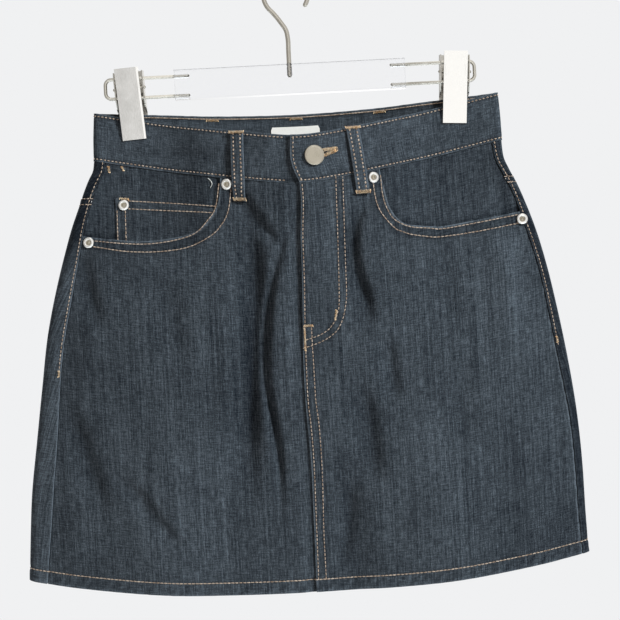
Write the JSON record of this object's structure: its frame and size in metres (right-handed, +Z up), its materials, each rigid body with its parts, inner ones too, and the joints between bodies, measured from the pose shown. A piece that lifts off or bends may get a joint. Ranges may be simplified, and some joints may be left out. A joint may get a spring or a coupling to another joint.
{
  "type": "denim skirt on a clip hanger",
  "caption": "Short grey-blue denim skirt with curved front pockets, belt loops, fly and shank button, hanging from a wire and clear-bar clip hanger",
  "frame": {"origin": "the inside top of the hanger hook's crown, where the rod that holds it passes", "axes": "+Z up along the hanging length, -Y out of the skirt's front, +X to the right of someone who looks at the front"},
  "size_m": [0.4757, 0.0597, 0.5255],
  "materials": {
    "denim": "washed twill denim, matt",
    "thread": "matt sewing thread",
    "label_cloth": "smooth woven",
    "zip_tape": "woven tape, matt",
    "satin_metal": "satin",
    "wire": "polished",
    "brushed_clip": "brushed",
    "clear_plastic": "clear, gloss"
  },
  "bodies": {
    "root": {"front_left": "denim", "front_right": "denim", "pocket_facing_left": "denim", "pocket_facing_right": "denim", "coin_pocket": "denim", "yoke_left": "denim", "yoke_right": "denim", "back_left": "denim", "back_right": "denim", "waistband": "denim", "belt_loop_front_left": "denim", "belt_loop_front_right": "denim", "belt_loop_back_left": "denim", "belt_loop_back_centre": "denim", "belt_loop_back_right": "denim", "fly_shield": "denim", "zip": "zip_tape", "button": "satin_metal", "rivet_1": "satin_metal", "rivet_2": "satin_metal", "rivet_3": "satin_metal", "rivet_4": "satin_metal", "rivet_5": "satin_metal", "label": "label_cloth", "hanger_hook": "wire", "hanger_bar": "clear_plastic", "hanger_rail_left": "wire", "hanger_rail_right": "wire", "clip_left_front": "brushed_clip", "clip_left_back": "brushed_clip", "clip_left_pin": "wire", "clip_left_spring": "wire", "clip_right_front": "brushed_clip", "clip_right_back": "brushed_clip", "clip_right_pin": "wire", "clip_right_spring": "wire"}
  },
  "joints": []
}
